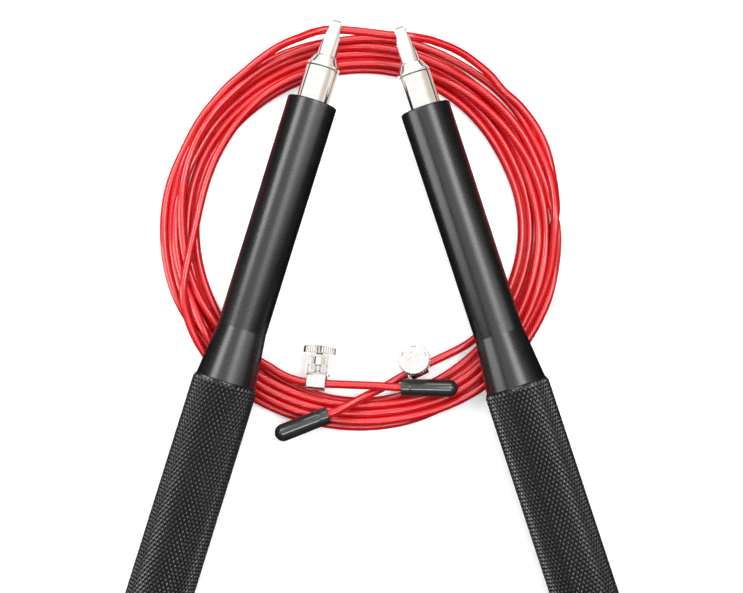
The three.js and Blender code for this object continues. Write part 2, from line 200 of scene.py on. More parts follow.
HANDLE_PLACES = {side: handle_place(side) for side in ("left", "right")}
HANDLES = [(origin, axis) for _, origin, axis in HANDLE_PLACES.values()]
HANDLE_OUTLINE = [
    (0, GRIP_RADIUS),
    (GRIP_FRONT, GRIP_RADIUS),
    (GRIP_FRONT + 0.1, FLARE_RADIUS),
    (FLARE_FRONT, BARREL_RADIUS),
    (WAIST, WAIST_RADIUS),
    (BARREL_FRONT, BARREL_FRONT_RADIUS),
    (BARREL_FRONT + 0.1, SLEEVE_RADIUS),
    (SLEEVE_FRONT, SLEEVE_RADIUS),
    (CONE_END, NECK_RADIUS),
    (HANDLE_LENGTH, NECK_RADIUS),
]
CLAMP_PLACES = {
    "left": clamp_place((-16.8, -16.09, 5.69), (22, -2.4, 1.7), (0.1, 0.995, -0.0436)),
    "right": clamp_place((14.33, -11.71, 2.4), (12.64, 5.97, 0), (-0.112, 0.238, 0.965)),
}
CAP_MOUTHS = {
    "left": ((-13, -25.75, 7.9), (-0.931, -0.357, -0.072)),
    "right": ((9.1, -17.6, 7.6), (1, -0.028, 0)),
}
CAPS = [(np.array(mouth), unit(along)) for mouth, along in CAP_MOUTHS.values()]

# ---- Rope route ----

ROPE_RADIUS = 1.25

# The rope's stretches that aren't coiled, as points on its centre line, in millimetres.
# From the right cap, through the left clamp and onto the coil.
LEFT_TAIL = [
    (21.2, -17.94, 7.6), (15, -17.77, 7.6), (9.1, -17.6, 7.6), (5.6, -17.4, 7.38), (2, -17.05, 7.13),
    (-5, -16.7, 6.6), (-11, -16.39, 6.14), (-17.6, -16.05, 5.63), (-21, -15.5, 5.3), (-24.5, -14.5, 4.7),
    (-28, -12.9, 4.1), (-30.5, -11.2, 3.9),
]
# From the left cap, under the other tail, through the right clamp and to the coil.
RIGHT_TAIL = [
    (-24.2, -30.03, 7.04), (-18.6, -27.89, 7.47), (-13, -25.75, 7.9), (-9.9, -24.4, 7.9),
    (-6.2, -22.5, 7.25), (-1.9, -20.2, 5.6), (2, -18.3, 4.1), (6, -16.1, 2.9), (9, -14.3, 2.45),
    (14.33, -11.71, 2.4), (19.6, -9.22, 2.4), (24, -7.2, 2.35), (28.3, -5.1, 1.9), (32.2, -2.7, 1.45),
]
# From the coil's right side up through both eyes, and down onto its left side.
EYE_STRETCH = [
    (41.3, 75.3, 5), (38.2, 79.3, 5.9), (35.2, 81.9, 7.2), (31.6, 84.5, 9), (28.2, 86.3, 10.7),
    (24.8, 87.5, 12.5), (21.6, 88.3, 14.2), (18.4, 88.95, 15.9), (15.4, 89.1, 17.4), (12.8, 89.4, 18.2),
    (10.2, 89.5, 18.42), (7.6, 89.65, 18.45), (2.5, 90.3, 18.5), (-3, 91, 18.5), (-7.8, 91.5, 18.45),
    (-10.4, 91.66, 18.4), (-13.2, 91.7, 17.8), (-17, 91.45, 15.7), (-20.8, 90.8, 12.7),
    (-24.4, 89.8, 9.6), (-27.8, 88.35, 7.1), (-31, 86.4, 5.5), (-34.1, 84.2, 5.05),
]

# The coil's turns: a row for each, with its radius every 30 degrees from the +X side.
COIL_CENTRE = (-2.6, 32.4)
TURN_RADII = [
    (50.5, 50.8, 51.1, 51.8, 52.0, 52.2, 52.4, 52.7, 53.4, 54.2, 53.2, 52.6),
    (52.8, 53.1, 53.7, 54.5, 54.3, 54.7, 55.2, 55.2, 56.1, 56.6, 55.4, 54.7),
    (55.2, 56.2, 57.8, 58.8, 59.2, 58.6, 58.2, 58.7, 59.7, 59.6, 59.2, 58.4),
    (60.0, 61.8, 62.2, 61.6, 60.0, 59.4, 59.3, 59.4, 59.2, 59.4, 60.6, 60.0),
    (60.0, 58.2, 57.3, 57.1, 58.4, 58.6, 58.6, 58.2, 56.6, 56.1, 56.6, 56.6),
    (55.9, 55.0, 55.2, 54.9, 55.4, 57.2, 58.0, 57.4, 57.4, 57.6, 58.8, 58.2),
    (57.4, 55.0, 53.3, 52.4, 52.0, 51.0, 51.8, 60.6, 61.6, 61.6, 60.6, 59.3),
    (60.3, 62.2, 60.6, 59.6, 59.4, 58.6, 56.8, 54.4, 52.0, 52.0, 52.0, 52.0),
]
FIRST_ANGLE = -37  # where the right tail joins the first turn, in degrees
EYE_ANGLES = (1121, 1207)  # between these the rope is in the eye stretch
LAST_ANGLE = 2752  # where the last turn becomes the left tail
RADIUS_STEP = 30.0  # degrees from one radius in a row to the next
TURN_STEP = 5.0  # degrees from one point of a turn to the next
LAST_DESCENT = 60  # over these last degrees the coil comes down to the left tail's height
TURN_RISE = 0.9  # each turn starts this much higher than the one before
# Where one turn starts out above its neighbours: from, to, and how much higher.
HUMPS = [(1355, 1445, 5.5), (2325, 2380, 3)]

ROPE_LINK = 3  # length of one straight link while the rope settles
TAIL_LINKS = 25  # more links than either tail has
CONTACT = 2 * ROPE_RADIUS + 0.02
FLOOR_HEIGHT = ROPE_RADIUS + 0.02
HANDLE_CLEARANCE = 0.15
HANDLE_SPAN = (40, 185)  # the stations of a handle that the rope comes near
CAP_CLEARANCE = 0.1
SETTLE_ROUNDS = 500
SINK = 0.05  # how far the rope sinks in the first round
HOME_PULL = 0.02  # share of its sideways shift that the rope takes back in a round
SMOOTHING = 0.25  # share of a kink that goes in each pass


def catmull_rom(points, per_span):
    """Points along a smooth curve through the given ones, per_span of them from each to the next."""
    knots = np.array(points, float)
    knots = np.vstack([2 * knots[0] - knots[1], knots, 2 * knots[-1] - knots[-2]])
    t = np.linspace(0, 1, per_span, endpoint=False)[:, None]
    curve = []
    for before, start, end, after in zip(knots, knots[1:], knots[2:], knots[3:]):
        a, b, c = (math.sqrt(np.linalg.norm(q - p)) for p, q in ((before, start), (start, end), (end, after)))
        leave = (end - start) + b * ((start - before) / a - (end - before) / (a + b))
        arrive = (end - start) + b * ((after - end) / c - (after - start) / (b + c))
        curve.append(
            (2 * t**3 - 3 * t**2 + 1) * start
            + (t**3 - 2 * t**2 + t) * leave
            + (3 * t**2 - 2 * t**3) * end
            + (t**3 - t**2) * arrive
        )
    return np.vstack(curve + [knots[-2]])


def lengths(points):
    return np.linalg.norm(np.diff(points, axis=0), axis=1)


def even_steps(points, step):
    """The same line as equal steps of about the given length."""
    along = np.concatenate([[0], np.cumsum(lengths(points))])
    stations = np.linspace(0, along[-1], round(along[-1] / step) + 1)
    return np.stack([np.interp(stations, along, points[:, k]) for k in range(3)], axis=1)


def coil_turns(first, last):
    """The coiled rope from one angle to another, before it settles."""
    angles = np.arange(first, last, TURN_STEP)
    radii = np.array(TURN_RADII).ravel()
    knots = np.stack([np.arange(len(radii)) * RADIUS_STEP, radii, np.zeros(len(radii))], axis=1)
    smooth = catmull_rom(knots, 6)
    radius = np.interp(angles, smooth[:, 0], smooth[:, 1])
    height = ROPE_RADIUS + TURN_RISE * (angles - FIRST_ANGLE) / 360
    for start, end, rise in HUMPS:
        inside = np.clip((angles - start) / (end - start), 0, 1)
        height += rise * np.sin(math.pi * inside)
    down = np.clip((angles - LAST_ANGLE + LAST_DESCENT) / LAST_DESCENT, 0, 1)
    height += down * (LEFT_TAIL[-1][2] - height)
    turn = np.radians(angles)
    x = COIL_CENTRE[0] + radius * np.cos(turn)
    y = COIL_CENTRE[1] + radius * np.sin(turn)
    return np.stack([x, y, height], axis=1)


def near_curve(points, knots):
    """Which of the points lie within 1 mm of the curve through the knots."""
    curve = catmull_rom(knots, 8)
    return np.linalg.norm(points[:, None] - curve[None], axis=2).min(axis=1) < 1


def rope_route():
    """The rope's whole centre line in equal links, and which of its points stay where they are."""
    parts = [
        RIGHT_TAIL,
        coil_turns(FIRST_ANGLE, EYE_ANGLES[0]),
        EYE_STRETCH,
        coil_turns(EYE_ANGLES[1], LAST_ANGLE),
        LEFT_TAIL[::-1],
    ]
    points = even_steps(catmull_rom(np.vstack(parts), 4), ROPE_LINK)
    held = near_curve(points, EYE_STRETCH[3:-4])
    held[:TAIL_LINKS] = near_curve(points[:TAIL_LINKS], RIGHT_TAIL[:-1])
    held[-TAIL_LINKS:] = near_curve(points[-TAIL_LINKS:], LEFT_TAIL[:-1])
    return points, held


def close_pairs(points):
    """Pairs of links that lie near each other and aren't neighbours along the rope."""
    middles = (points[1:] + points[:-1]) / 2
    apart = ((middles[:, None] - middles[None]) ** 2).sum(axis=2)
    i, j = np.nonzero(apart < (CONTACT + ROPE_LINK + 0.6) ** 2)
    keep = j - i >= 4
    return i[keep], j[keep]


def push_links_apart(points, pairs, loose):
    """Moves links that overlap until they only touch."""
    i, j = pairs
    u = points[i + 1] - points[i]
    v = points[j + 1] - points[j]
    w = points[i] - points[j]
    uu, uv, vv = (u * u).sum(1), (u * v).sum(1), (v * v).sum(1)
    uw, vw = (u * w).sum(1), (v * w).sum(1)
    s = np.clip((uv * vw - vv * uw) / np.maximum(uu * vv - uv * uv, 1e-6), 0, 1)
    t = np.clip((uv * s + vw) / vv, 0, 1)
    s = np.clip((uv * t - uw) / uu, 0, 1)
    gap = w + u * s[:, None] - v * t[:, None]
    distance = np.linalg.norm(gap, axis=1)
    hit = distance < CONTACT
    i, j, s, t = i[hit], j[hit], s[hit], t[hit]
    away = gap[hit] / np.maximum(distance[hit], 1e-6)[:, None]
    corners = ((i, 1 - s, 1), (i + 1, s, 1), (j, 1 - t, -1), (j + 1, t, -1))
    total = sum(loose[k] * share**2 for k, share, _ in corners)
    push = (CONTACT - distance[hit]) / np.maximum(total, 1e-4)
    move = np.zeros_like(points)
    count = np.zeros(len(points))
    for k, share, side in corners:
        amount = loose[k] * share
        np.add.at(move, k, side * away * (push * amount)[:, None])
        np.add.at(count, k, amount > 0.05)
    points += move / np.maximum(count, 1)[:, None]


def keep_off_handles(points, loose):
    """Moves the rope out of the space that the two handles hold."""
    stations, radii = zip(*HANDLE_OUTLINE)
    for start, axis in HANDLES:
        offset = points - start
        station = offset @ axis
        radial = offset - station[:, None] * axis
        distance = np.linalg.norm(radial, axis=1)
        need = np.interp(station, stations, radii) + ROPE_RADIUS + HANDLE_CLEARANCE
        beside = (station > HANDLE_SPAN[0]) & (station < HANDLE_SPAN[1])
        inside = beside & (distance < need) & (loose > 0)
        points[inside] += (radial / distance[:, None] * (need - distance)[:, None])[inside]


def keep_off_caps(points, loose):
    """Moves the rope out of the space that the two caps hold."""
    need = CAP_RADIUS + ROPE_RADIUS + CAP_CLEARANCE
    for mouth, along in CAPS:
        t = np.clip((points - mouth) @ along, 0, CAP_LENGTH)
        radial = points - (mouth + t[:, None] * along)
        distance = np.linalg.norm(radial, axis=1)
        inside = (distance < need) & (loose > 0)
        points[inside] += (radial / np.maximum(distance, 1e-6)[:, None] * (need - distance)[:, None])[inside]


def settle(points, held, rounds):
    """Lays the rope down: it sinks, bends smoothly, keeps its length, and rests on what is under it."""
    home = points.copy()
    rest = lengths(points)
    loose = np.where(held, 0.0, 1.0)
    by = loose[:, None]
    for step in range(rounds):
        points[:, 2] -= loose * SINK * (1 - 0.5 * step / rounds)
        points[:, :2] += HOME_PULL * by * (home - points)[:, :2]
        if step % 8 == 0:
            pairs = close_pairs(points)
        for _ in range(3):
            link = points[1:] - points[:-1]
            length = np.linalg.norm(link, axis=1)
            pull = (0.5 * (length - rest) / length)[:, None] * link
            points[:-1] += pull * by[:-1]
            points[1:] -= pull * by[1:]
            shift = points - home
            shift[:, 2] = points[:, 2]
            points[1:-1] += SMOOTHING * by[1:-1] * ((shift[2:] + shift[:-2]) / 2 - shift[1:-1])
            push_links_apart(points, pairs, loose)
            keep_off_handles(points, loose)
            keep_off_caps(points, loose)
            floor = np.maximum(points[:, 2], FLOOR_HEIGHT)
            points[:, 2] = np.where(held, points[:, 2], floor)
    return points

# ---- Materials ----


def srgb(red, green, blue):
    """A display colour, 0 to 255, as the linear colour that a shader takes."""
    linear = []
    for value in (red, green, blue):
        c = value / 255
        linear.append(c / 12.92 if c <= 0.04045 else ((c + 0.055) / 1.055) ** 2.4)
    return (*linear, 1)


class Look:
    """A material made of nodes, with short calls for the nodes that several looks share."""

    def __init__(self, name, **sockets):
        self.material = bpy.data.materials.new(name)
        self.material.use_nodes = True
        self.nodes = self.material.node_tree.nodes
        self.links = self.material.node_tree.links
        self.shader = self.nodes["Principled BSDF"]
        for socket, value in sockets.items():
            self.shader.inputs[socket.replace("_", " ")].default_value = value

    def join(self, source, target):
        self.links.new(source, target)

    def drive(self, socket, source):
        """Lets the source set one of the shader's own sockets."""
        self.join(source, self.shader.inputs[socket])

    def place(self):
        """The point on the piece, in the model's own frame."""
        return self.nodes.new("ShaderNodeTexCoord").outputs["Object"]

    def stretched(self, point, scale, turn=(0, 0, 0)):
        node = self.nodes.new("ShaderNodeMapping")
        node.inputs["Scale"].default_value = scale
        node.inputs["Rotation"].default_value = turn
        self.join(point, node.inputs["Vector"])
        return node.outputs["Vector"]

    def noise(self, point, scale, detail=3, roughness=0.5):
        node = self.nodes.new("ShaderNodeTexNoise")
        node.inputs["Scale"].default_value = scale
        node.inputs["Detail"].default_value = detail
        node.inputs["Roughness"].default_value = roughness
        self.join(point, node.inputs["Vector"])
        return node.outputs["Fac"]

    def ramp(self, value, *stops):
        """A colour, or a grey, that changes with the value: stops are (position, colour)."""
        node = self.nodes.new("ShaderNodeValToRGB")
        elements = node.color_ramp.elements
        while len(elements) < len(stops):
            elements.new(0.5)
        for element, (position, colour) in zip(elements, stops):
            element.position = position
            element.color = colour if isinstance(colour, tuple) else (colour, colour, colour, 1)
        self.join(value, node.inputs["Fac"])
        return node.outputs["Color"]

    def math(self, operation, first, second=None, third=None):
        node = self.nodes.new("ShaderNodeMath")
        node.operation = operation
        for socket, value in zip(node.inputs, (first, second, third)):
            if isinstance(value, (int, float)):
                socket.default_value = value
            elif value is not None:
                self.join(value, socket)
        return node.outputs[0]

    def mix(self, amount, first, second):
        node = self.nodes.new("ShaderNodeMix")
        node.data_type = "RGBA"
        for socket, value in zip((node.inputs[0], node.inputs[6], node.inputs[7]), (amount, first, second)):
            if isinstance(value, (int, float, tuple)):
                socket.default_value = value
            else:
                self.join(value, socket)
        return node.outputs[2]

    def bump(self, height, strength, distance):
        node = self.nodes.new("ShaderNodeBump")
        node.inputs["Strength"].default_value = strength
        node.inputs["Distance"].default_value = distance * MM
        self.join(height, node.inputs["Height"])
        self.drive("Normal", node.outputs["Normal"])


def anodised_look():
    """Black anodised aluminium: satin, with fine lengthwise turning marks and light sharp edges, partly
    rubbed wear and partly a painted highlight on the knurl's ridges.
    """
    look = Look("anodised_aluminium", Metallic=0.0, IOR=1.6, Specular_IOR_Level=0.5)
    point = look.place()
    fine = look.noise(point, 2600, 4, 0.6)
    cloud = look.noise(point, 70, 2)
    tone = look.ramp(cloud, (0.3, srgb(17, 17, 18)), (0.7, srgb(25, 25, 26)))
    # Sharp edges are mixed towards light grey: partly rubbed wear, partly a painted highlight that stands in
    # for the glints on the knurl's ridges.
    edge = look.nodes.new("ShaderNodeNewGeometry").outputs["Pointiness"]
    edge_wear_and_glint = look.ramp(edge, (0.52, 0.0), (0.62, 1.0))
    wear_and_glint_amount = look.math("MULTIPLY", edge_wear_and_glint, look.ramp(fine, (0.45, 0.0), (0.7, 0.5)))
    look.drive("Base Color", look.mix(wear_and_glint_amount, tone, srgb(150, 150, 154)))
    look.drive("Roughness", look.ramp(fine, (0.3, 0.25), (0.7, 0.33)))
    look.bump(fine, 0.06, 0.02)
    return look.material


def plastic_look():
    """Black moulded plastic with a fine spark-eroded grain."""
    look = Look("black_plastic", Specular_IOR_Level=0.45)
    point = look.place()
    grain = look.noise(point, 3200, 5, 0.65)
    cloud = look.noise(point, 120, 2)
    look.drive("Base Color", look.ramp(cloud, (0.3, srgb(20, 20, 20)), (0.7, srgb(29, 29, 29))))
    look.drive("Roughness", look.ramp(grain, (0.3, 0.48), (0.7, 0.66)))
    look.bump(grain, 0.35, 0.03)
    return look.material


def nickel_look():
    """Bright nickel plate: near-mirror, with faint turning rings, handling marks and a warm cast."""
    look = Look("nickel", Metallic=1.0)
    point = look.place()
    smear = look.noise(point, 260, 3, 0.6)
    scratch = look.noise(look.stretched(point, (900, 9000, 900), (0, 0, 0.3)), 1, 3, 0.7)
    warm = look.ramp(smear, (0.3, srgb(236, 234, 230)), (0.7, srgb(246, 245, 243)))
    look.drive("Base Color", warm)
    mixed = look.math("MULTIPLY_ADD", smear, 0.08, look.math("MULTIPLY", scratch, 0.06))
    look.drive("Roughness", look.math("ADD", mixed, 0.03))
    look.bump(scratch, 0.06, 0.01)
    return look.material


def steel_look():
    """Ground bearing steel with fine rings and a thin film of oil."""
    look = Look("bearing_steel", Metallic=1.0, Coat_Weight=0.25, Coat_Roughness=0.12)
    point = look.place()
    ground = look.noise(look.stretched(point, (3000, 3000, 700)), 1, 3, 0.6)
    film = look.noise(point, 300, 2)
    look.drive("Base Color", look.ramp(film, (0.3, srgb(168, 170, 173)), (0.7, srgb(198, 200, 203))))
    look.drive("Roughness", look.ramp(ground, (0.3, 0.2), (0.7, 0.34)))
    look.bump(ground, 0.15, 0.01)
    return look.material


def brass_look():
    """The ball cage's pressed brass, a little tarnished."""
    look = Look("cage_brass", Metallic=1.0)
    point = look.place()
    tarnish = look.noise(point, 420, 4, 0.6)
    look.drive("Base Color", look.ramp(tarnish, (0.35, srgb(150, 116, 60)), (0.65, srgb(202, 164, 94))))
    look.drive("Roughness", look.ramp(tarnish, (0.3, 0.4), (0.7, 0.26)))
    look.bump(tarnish, 0.1, 0.01)
    return look.material


def rubber_look():
    """The black soft caps: semi-matte rubber with a faint grain, under a thin, sharp gloss."""
    look = Look("black_rubber", Specular_IOR_Level=0.35, Coat_Weight=1.0, Coat_Roughness=0.06)
    point = look.place()
    grain = look.noise(point, 2200, 4, 0.6)
    cloud = look.noise(point, 200, 2)
    look.drive("Base Color", look.ramp(cloud, (0.3, srgb(19, 22, 21)), (0.7, srgb(30, 34, 32))))
    look.drive("Roughness", look.ramp(grain, (0.3, 0.44), (0.7, 0.58)))
    look.bump(grain, 0.12, 0.02)
    return look.material


WIRE_COUNT = 8  # strands of wire that show round the rope
WIRE_LAY = 11  # length of rope in which a strand goes once round


def red_coating_look():
    """Clear red plastic over twisted steel wires, which show as fine slanting lines."""
    look = Look(
        "red_coating", Specular_IOR_Level=0.45, Coat_Weight=0.8, Coat_Roughness=0.08, Coat_IOR=1.5,
    )
    strands = look.nodes.new("ShaderNodeUVMap")
    strands.uv_map = "strands"
    split = look.nodes.new("ShaderNodeSeparateXYZ")
    look.join(strands.outputs["UV"], split.inputs["Vector"])
    around, along = split.outputs["X"], split.outputs["Y"]
    wobble = look.noise(look.place(), 500, 2)
    lay = look.math("MULTIPLY", along, WIRE_COUNT / WIRE_LAY)
    turns = look.math("MULTIPLY_ADD", around, float(WIRE_COUNT), lay)
    phase = look.math("ADD", turns, look.math("MULTIPLY", wobble, 0.35))
    wave = look.math("SINE", look.math("MULTIPLY", phase, 2 * math.pi))
    wires = look.math("MULTIPLY_ADD", wave, 0.5, 0.5)
    cloud = look.noise(look.place(), 90, 3)
    lit = look.ramp(cloud, (0.3, srgb(228, 14, 24)), (0.7, srgb(242, 28, 38)))
    look.drive("Base Color", look.mix(wires, srgb(158, 2, 9), lit))
    look.drive("Roughness", look.ramp(wires, (0.0, 0.34), (1.0, 0.22)))
    look.bump(wires, 0.14, 0.05)
    return look.material


LOOKS = {
    "anodised_aluminium": anodised_look(),
    "black_plastic": plastic_look(),
    "nickel": nickel_look(),
    "bearing_steel": steel_look(),
    "cage_brass": brass_look(),
    "red_coating": red_coating_look(),
    "black_rubber": rubber_look(),
}

# ---- Mesh building ----


def rounded(outline, steps=4):
    """The outline with each corner that has a third number, its rounding, cut back to a curve."""
    points = []
    for i, (radius, station, *cut) in enumerate(outline):
        corner = np.array([radius, station], float)
        if not cut:
            points.append(corner)
            continue
        start = corner + cut[0] * unit(np.array(outline[i - 1][:2]) - corner)
        end = corner + cut[0] * unit(np.array(outline[i + 1][:2]) - corner)
        for t in np.linspace(0, 1, steps + 1):
            points.append((1 - t) ** 2 * start + 2 * t * (1 - t) * corner + t**2 * end)
    return points


def ring_faces(low, high):
    """Faces between two rings of vertex numbers, where a ring on the axis is a single vertex."""
    faces = []
    for k in range(max(len(low), len(high))):
        if len(low) == 1:
            faces.append((low[0], high[(k + 1) % len(high)], high[k]))
        elif len(high) == 1:
            faces.append((low[k], low[(k + 1) % len(low)], high[0]))
        else:
            after = (k + 1) % len(low)
            faces.append((low[k], low[after], high[after], high[k]))
    return faces


def turned(outline, facets, shape=None):
    """A body turned about Z, from (radius, station) pairs up its outside and down its inside.

    An outline ends on the axis or where it began. The shape, when there is one, gives the radius
    at an angle from the outline's radius and station.
    """
    angles = [2 * math.pi * k / facets for k in range(facets)]
    vertices, rings = [], []
    closed = np.allclose(outline[0], outline[-1])
    for radius, station in outline[:-1] if closed else outline:
        start = len(vertices)
        if radius < 1e-6:
            vertices.append((0, 0, station))
        else:
            for angle in angles:
                r = shape(radius, station, angle) if shape else radius
                vertices.append((r * math.cos(angle), r * math.sin(angle), station))
        rings.append(range(start, len(vertices)))
    if closed:
        rings.append(rings[0])
    faces = []
    for low, high in zip(rings, rings[1:]):
        faces += ring_faces(low, high)
    return vertices, faces


def prism(outline, low, high, axes):
    """A flat outline pushed from low to high. The axes say which way its two numbers and the push go."""
    count = len(outline)
    vertices = []
    for level in (low, high):
        for values in outline:
            point = [0, 0, 0]
            for axis, value in zip(axes, (*values, level)):
                point["xyz".index(axis)] = value
            vertices.append(point)
    faces = [tuple(reversed(range(count))), tuple(range(count, 2 * count))]
    faces += ring_faces(range(count), range(count, 2 * count))
    return vertices, faces


def solid(name, vertices, faces):
    """An object in millimetres, to cut, join and then finish."""
    mesh = bpy.data.meshes.new(name)
    mesh.from_pydata([tuple(map(float, v)) for v in vertices], [], faces)
    made = bmesh.new()
    made.from_mesh(mesh)
    bmesh.ops.recalc_face_normals(made, faces=made.faces)
    made.to_mesh(mesh)
    made.free()
    return in_scene(name, mesh)


def keep_result(piece):
    """Makes the piece's modifiers part of its mesh."""
    bpy.context.view_layer.update()
    shaped = piece.evaluated_get(bpy.context.evaluated_depsgraph_get())
    piece.data = bpy.data.meshes.new_from_object(shaped)
    piece.modifiers.clear()


def combine(piece, operation, *tools):
    """Cuts tools from the piece (DIFFERENCE) or joins them to it (UNION)."""
    for tool in tools:
        modifier = piece.modifiers.new("combine", "BOOLEAN")
        modifier.operation = operation
        modifier.solver = "EXACT"
        modifier.object = tool
        keep_result(piece)
        bpy.data.objects.remove(tool)


def turned_about_x(name, outline, facets, station=0):
    """A body turned about X instead of Z, at a station on Z."""
    piece = solid(name, *turned(rounded(outline), facets))
    piece.data.transform(Matrix.Translation((0, 0, station)) @ Matrix.Rotation(math.pi / 2, 4, "Y"))
    return piece


def flared_drill(name, radius, flare, neck, mouth, cut, station=0):
    """A tool along X for a round hole that is wider at both its mouths."""
    wide = radius + flare
    half = [(0, 6), (wide, 6), (wide, mouth), (radius, neck, cut)]
    outline = [(r, -along, *rounding) for r, along, *rounding in half] + half[::-1]
    return turned_about_x(name, outline, 64, station)


def soften(piece, width, angle=40):
    """Rounds every edge of the piece that is sharper than the angle."""
    modifier = piece.modifiers.new("soften", "BEVEL")
    modifier.width = width
    modifier.segments = 2
    modifier.limit_method = "ANGLE"
    modifier.angle_limit = math.radians(angle)
    keep_result(piece)


def finish(piece, place, body, slot, replaced, sharp=35):
    """Puts the piece in its place in metres, with its look, body and the CAD nodes it stands for."""
    mesh = piece.data
    mesh.transform(Matrix.Scale(MM, 4) @ place)
    mesh.shade_smooth()
    mesh.set_sharp_from_angle(angle=math.radians(sharp))
    mesh.materials.clear()
    mesh.materials.append(LOOKS[slot])
    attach(piece, body)
    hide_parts(*replaced)
    return piece

# ---- Rope ----

ROPE_SIDES = 20
ROPE_SPLITS = 3  # rings in each settled link


def rope_mesh(name, points):
    """A tube round the points, with a map that runs round it and along it in millimetres."""
    line = catmull_rom(points, ROPE_SPLITS)
    ahead = np.gradient(line, axis=0)
    ahead /= np.linalg.norm(ahead, axis=1)[:, None]
    along = np.concatenate([[0], np.cumsum(lengths(line))])
    side = unit(np.cross(ahead[0], [0, 0, 1]))
    angles = 2 * math.pi * np.arange(ROPE_SIDES) / ROPE_SIDES
    vertices, rings = [], []
    for point, direction in zip(line, ahead):
        side = unit(side - direction * (side @ direction))
        up = np.cross(direction, side)
        rings.append(range(len(vertices), len(vertices) + ROPE_SIDES))
        for angle in angles:
            vertices.append(point + ROPE_RADIUS * (side * math.cos(angle) + up * math.sin(angle)))
    faces, places = [], []
    for i, (low, high) in enumerate(zip(rings, rings[1:])):
        faces += ring_faces(low, high)
        for k in range(ROPE_SIDES):
            around = (k / ROPE_SIDES, (k + 1) / ROPE_SIDES)
            places += [(around[0], along[i]), (around[1], along[i])]
            places += [(around[1], along[i + 1]), (around[0], along[i + 1])]
    faces += [tuple(reversed(rings[0])), tuple(rings[-1])]
    places += [(0, 0)] * (2 * ROPE_SIDES)
    mesh = bpy.data.meshes.new(name)
    mesh.from_pydata([tuple(v) for v in vertices], [], faces)
    strands = mesh.uv_layers.new(name="strands")
    strands.data.foreach_set("uv", np.array(places, np.float32).ravel())
    return in_scene(name, mesh)


route, held = rope_route()
route = settle(route, held, SETTLE_ROUNDS)
rope = rope_mesh("coated_rope", route)
finish(rope, Matrix.Identity(4), "rope", "red_coating",
       ("rope_coil", "rope_left_tail", "rope_right_tail", "rope_eye_stretch"))

# ---- Handle pieces, about their own Z axis, from the grip end to the tip ----


def knurl(start, end, valley):
    """A band of diamonds cut into the grip. Gives its points, faces, and first and last rings."""
    columns = 2 * KNURL_AROUND
    rows = 2 * KNURL_ROWS
    vertices, faces, corner = [], [], {}

    def point(column, row, radius):
        angle = 2 * math.pi * column / columns
        station = start + (end - start) * row / rows
        vertices.append((radius * math.cos(angle), radius * math.sin(angle), station))
        return len(vertices) - 1

    for row in range(rows + 1):
        for column in range(columns):
            if (row + column) % 2 == 0 or row in (0, rows):
                corner[column, row] = point(column, row, valley)
    for row in range(rows + 1):
        for column in range(columns):
            if (row + column) % 2 == 0:
                continue
            before = corner[(column - 1) % columns, row]
            after = corner[(column + 1) % columns, row]
            if row in (0, rows):
                beyond = corner[column, 1 if row == 0 else rows - 1]
                middle = corner[column, row]
                halves = [(before, middle, beyond), (middle, after, beyond)]
                faces += halves if row == 0 else [half[::-1] for half in halves]
                continue
            edge = (before, corner[column, row - 1], after, corner[column, row + 1])
            top = [
                point(column + KNURL_FLAT * across, row + KNURL_FLAT * up, GRIP_RADIUS)
                for across, up in ((-1, 0), (0, -1), (1, 0), (0, 1))
            ]
            faces.append(tuple(top))
            for k in range(4):
                after_k = (k + 1) % 4
                faces.append((edge[k], edge[after_k], top[after_k], top[k]))
    first = [corner[column, 0] for column in range(columns)]
    last = [corner[column, rows] for column in range(columns)]
    return vertices, faces, first, last


def handle_body():
    """The aluminium tube: knurled grip, cone, slim barrel, the bearing socket and the bore."""
    valley = GRIP_RADIUS - KNURL_DEPTH
    knurl_start = GRIP_START + 0.8
    knurl_end = GRIP_FRONT - 0.35
    vertices, faces, first, last = knurl(knurl_start, knurl_end, valley)
    socket_end = BARREL_FRONT - SOCKET_DEPTH
    outline = rounded([
        (valley, knurl_end),
        (valley + 0.1, GRIP_FRONT - 0.1),
        (valley, GRIP_FRONT, 0.08),
        (FLARE_RADIUS, GRIP_FRONT),
        (FLARE_RADIUS - 0.03, GRIP_FRONT + 0.25),
        (BARREL_RADIUS + 0.03, FLARE_FRONT - 0.25),
        (BARREL_RADIUS, FLARE_FRONT),
        (BARREL_RADIUS, FLARE_FRONT + 0.25),
        (WAIST_RADIUS, WAIST),
        (BARREL_FRONT_RADIUS - 0.01, BARREL_FRONT - 1.2),
        (BARREL_FRONT_RADIUS, BARREL_FRONT, 0.55),
        (SOCKET_RADIUS, BARREL_FRONT, 0.15),
        (SOCKET_RADIUS, socket_end),
        (CORE_BORE_RADIUS, socket_end),
        (CORE_BORE_RADIUS, GRIP_BORE_END + GRIP_BORE_RADIUS - CORE_BORE_RADIUS),
        (GRIP_BORE_RADIUS, GRIP_BORE_END),
        (GRIP_BORE_RADIUS, GRIP_START, 0.2),
        (GRIP_RADIUS - GRIP_CHAMFER, GRIP_START, 0.2),
        (valley + 0.05, GRIP_START + 0.35),
        (valley, knurl_start),
    ])
    facets = 2 * KNURL_AROUND
    rings = [last]
    for radius, station in outline[1:-1]:
        rings.append(range(len(vertices), len(vertices) + facets))
        for k in range(facets):
            angle = 2 * math.pi * k / facets
            vertices.append((radius * math.cos(angle), radius * math.sin(angle), station))
    rings.append(first)
    for low, high in zip(rings, rings[1:]):
        faces += ring_faces(low, high)
    return vertices, faces


